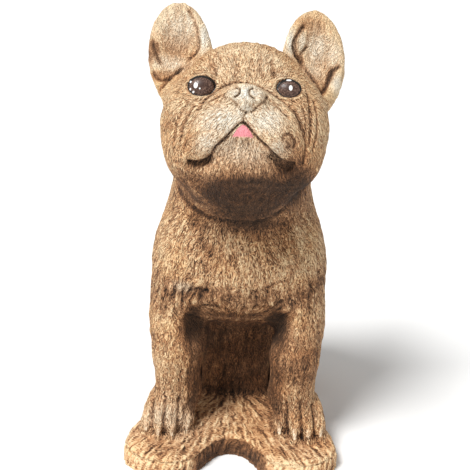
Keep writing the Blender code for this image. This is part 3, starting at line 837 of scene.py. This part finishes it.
def paintedStone():
    material, shader = newMaterial("paintedStone")
    start = Wire(shader["Base Color"])
    place = start.node("ShaderNodeTexCoord", {}, {}, "Object").scaled(1 / mm)
    flow = start.attribute("furFlow", "Vector")
    relief, hollow, openness, palePaint, shadeAndWashMask, smooth, cut = (
        start.attribute(n) for n in ("relief", "hollow", "open", "pale", "dark", "smooth", "cut"))

    # the head's own across, forward and up, for what is painted on the face
    parts = place.node("ShaderNodeSeparateXYZ", {}, {0: place}).socket.node.outputs
    x, y, z = (Wire(part) for part in parts)
    originX, originY, originZ = headPose["origin"]
    across = x - originX
    forward = (z - originZ) * math.sin(headTilt) - (y - originY) * math.cos(headTilt)
    up = (y - originY) * math.sin(headTilt) + (z - originZ) * math.cos(headTilt)
    inFront = forward.rising(24, 26)

    share = 1 - across.rising(-1, 1) * (1 - eye["leftShare"])
    eyeAcross = (abs(across - eye["middle"]) - eye["across"]) / share / eye["halfWidth"]
    eyeUp = (up - eye["up"]) / share / eye["halfHeight"]
    radius = (eyeAcross * eyeAcross + eyeUp * eyeUp) ** 0.5
    onEye = radius.falling(0.99, 1.02) * inFront

    stray = place.node("ShaderNodeTexNoise", {}, {"Vector": place, "Scale": 0.12}, "Color")
    bent = place + (stray - 0.5).scaled(strokes["waver"])
    onBase = z.falling(base["top"], base["top"] + base["blend"])
    stroke = (paintStrokes(bent, flow, furStroke) * (1 - onBase)
              + paintStrokes(bent, flow, baseStroke) * onBase)
    grit = place.noise(0.7, 1)
    patches = place.noise(24, 4)
    ridge = stroke * 0.8 + grit * 0.2

    # darker in the fur's grooves and lighter on its ridges, painted shade in the hollows and in the dark
    # places, which hold some dark wash, and evener on the smooth ears
    onEars = forward.falling(6, 16) * up.rising(12, 20) * shade["evenerEars"]
    wearAndShade = ((ridge - 0.5) * shade["stroke"] + relief * shade["relief"]
            + (patches - 0.5) * shade["patches"]) * (1 - onEars) + hollow * shade["hollow"]
    # painted light: the head is lighter higher up, as if lit from above
    lighter = (palePaint * shade["pale"] + onEars * shade["ears"]
               + z.rising(230, 310) * shade["upper"])
    # painted shade, with some dark wash: darker where little light reaches, in the painted-shade places
    # and along the carved lines
    shadedAndWashed = shadeAndWashMask * (0.7 + place.noise(5, 3) * 0.6)
    inHollows = openness.rising(-0.1, 0.7) * (1 - shadedAndWashed * shade["shadeAndWash"]) * (1 - cut * shade["cut"])
    value = (shade["ground"] + wearAndShade + lighter) * inHollows
    tone = value.ramp(paint["stone"]).mixed(palePaint, value.ramp(paint["pale"]))

    # some places are a warmer brown
    warm = place.noise(30, 2).rising(0.42, 0.62) * (1 - palePaint)
    tone = tone.mixed(warm * shade["warm"], tone * (1.03, 0.88, 0.70))

    # tongue, with a ragged lower edge
    top = tongue["top"] - abs(across - tongue["middle"]) ** tongue["power"] * tongue["slope"]
    foot = (up + (ridge - 0.5) * tongue["ragged"]).rising(*tongue["foot"])
    onTongue = (up - top).falling(-0.5, 0.5) * foot * forward.rising(50, 52)
    tone = tone.mixed(onTongue, paint["tongue"])

    # eyes
    fleck = place.noise(1.1, 2).rising(0.42, 0.66) * radius.rising(0.1, 0.5)
    iris = fleck.ramp(((0, paint["iris"]), (1, paint["irisFleck"])))
    # the dark rim painted round the eye, wider at the top, where it is painted shade under the lid
    rimAndLidShade = 0.91 - eyeUp.rising(-0.3, 0.8) * 0.23
    painted = iris.mixed((radius - rimAndLidShade).rising(-0.03, 0.03), paint["eyeRimAndLidShade"])
    for side, (glintAcross, glintUp), (halfWidth, halfHeight) in glints:
        sideways = (across - eye["middle"] - side * eye["across"] - glintAcross) / halfWidth
        upward = (up - eye["up"] - glintUp) / halfHeight
        painted = painted.mixed((sideways * sideways + upward * upward).falling(0.7, 1.2),
                                paint["glint"])
    tone = tone.mixed(onEye, painted)

    rough = (ridge * (1 - onEye) * (1 - onTongue * 0.7) * (1 - smooth * 0.8)) * strokes["height"]
    bump = place.node("ShaderNodeBump", {}, {"Distance": mm, "Height": rough})
    plug(shader["Base Color"], tone)
    plug(shader["Roughness"], 0.80 - onEye * 0.38 - onTongue * 0.3)
    plug(shader["Coat Weight"], onEye * 0.12)
    plug(shader["Coat Roughness"], 0.08)
    plug(shader["Specular IOR Level"], 0.3)
    plug(shader["Normal"], bump)
    return material


# Floor, light and camera

# The camera, in metres, degrees and the picture's pixels
view = {
    "aim": (0, -0.006, 0.2), "distance": 0.9, "elevation": 18.0, "roll": 2.0,
    "focalPixels": 968.0, "frameSide": 470, "centreX": 238.5, "centreY": 218.5,
}


def makeCamera():
    data = bpy.data.cameras.new("camera")
    thing = bpy.data.objects.new("camera", data)
    bpy.context.scene.collection.objects.link(thing)
    rise = math.radians(view["elevation"])
    aim = Vector(view["aim"])
    thing.location = aim + Vector((0, -math.cos(rise), math.sin(rise))) * view["distance"]
    look = (aim - thing.location).to_track_quat("-Z", "Y")
    thing.rotation_mode = "QUATERNION"
    thing.rotation_quaternion = look @ Quaternion((0, 0, 1), math.radians(view["roll"]))
    side = view["frameSide"]
    data.sensor_width = 36
    data.lens = view["focalPixels"] / side * data.sensor_width
    data.shift_x = (side / 2 - view["centreX"]) / side
    data.shift_y = (view["centreY"] - side / 2) / side
    bpy.context.scene.camera = thing


light = {"from": (-0.62, -0.60, 1.25), "softDegrees": 22, "strength": 3.4, "room": 0.46}


def makeLight():
    data = bpy.data.lights.new("key", "SUN")
    data.energy = light["strength"]
    data.angle = math.radians(light["softDegrees"])
    thing = bpy.data.objects.new("key", data)
    thing.rotation_mode = "QUATERNION"
    thing.rotation_quaternion = (-Vector(light["from"])).to_track_quat("-Z", "Y")
    bpy.context.scene.collection.objects.link(thing)
    world = bpy.data.worlds.new("room")
    world.use_nodes = True
    background = world.node_tree.nodes["Background"]
    background.inputs["Color"].default_value = (1, 1, 1, 1)
    background.inputs["Strength"].default_value = light["room"]
    bpy.context.scene.world = world
    bpy.context.scene.view_settings.view_transform = "Standard"


floor = {"halfWidth": 40, "colour": (0.90, 0.90, 0.89), "roughness": 0.9}


def makeFloor():
    shape = bmesh.new()
    bmesh.ops.create_grid(shape, x_segments=1, y_segments=1, size=floor["halfWidth"])
    mesh = bpy.data.meshes.new("floor")
    shape.to_mesh(mesh)
    shape.free()
    thing = bpy.data.objects.new("floor", mesh)
    bpy.context.scene.collection.objects.link(thing)
    material, shader = newMaterial("paleFloor")
    plug(shader["Base Color"], floor["colour"])
    plug(shader["Roughness"], floor["roughness"])
    mesh.materials.append(material)


makeCamera()
makeLight()
makeFloor()
dressStatue("bulldog_statue")

print("stage: the scene is ready")
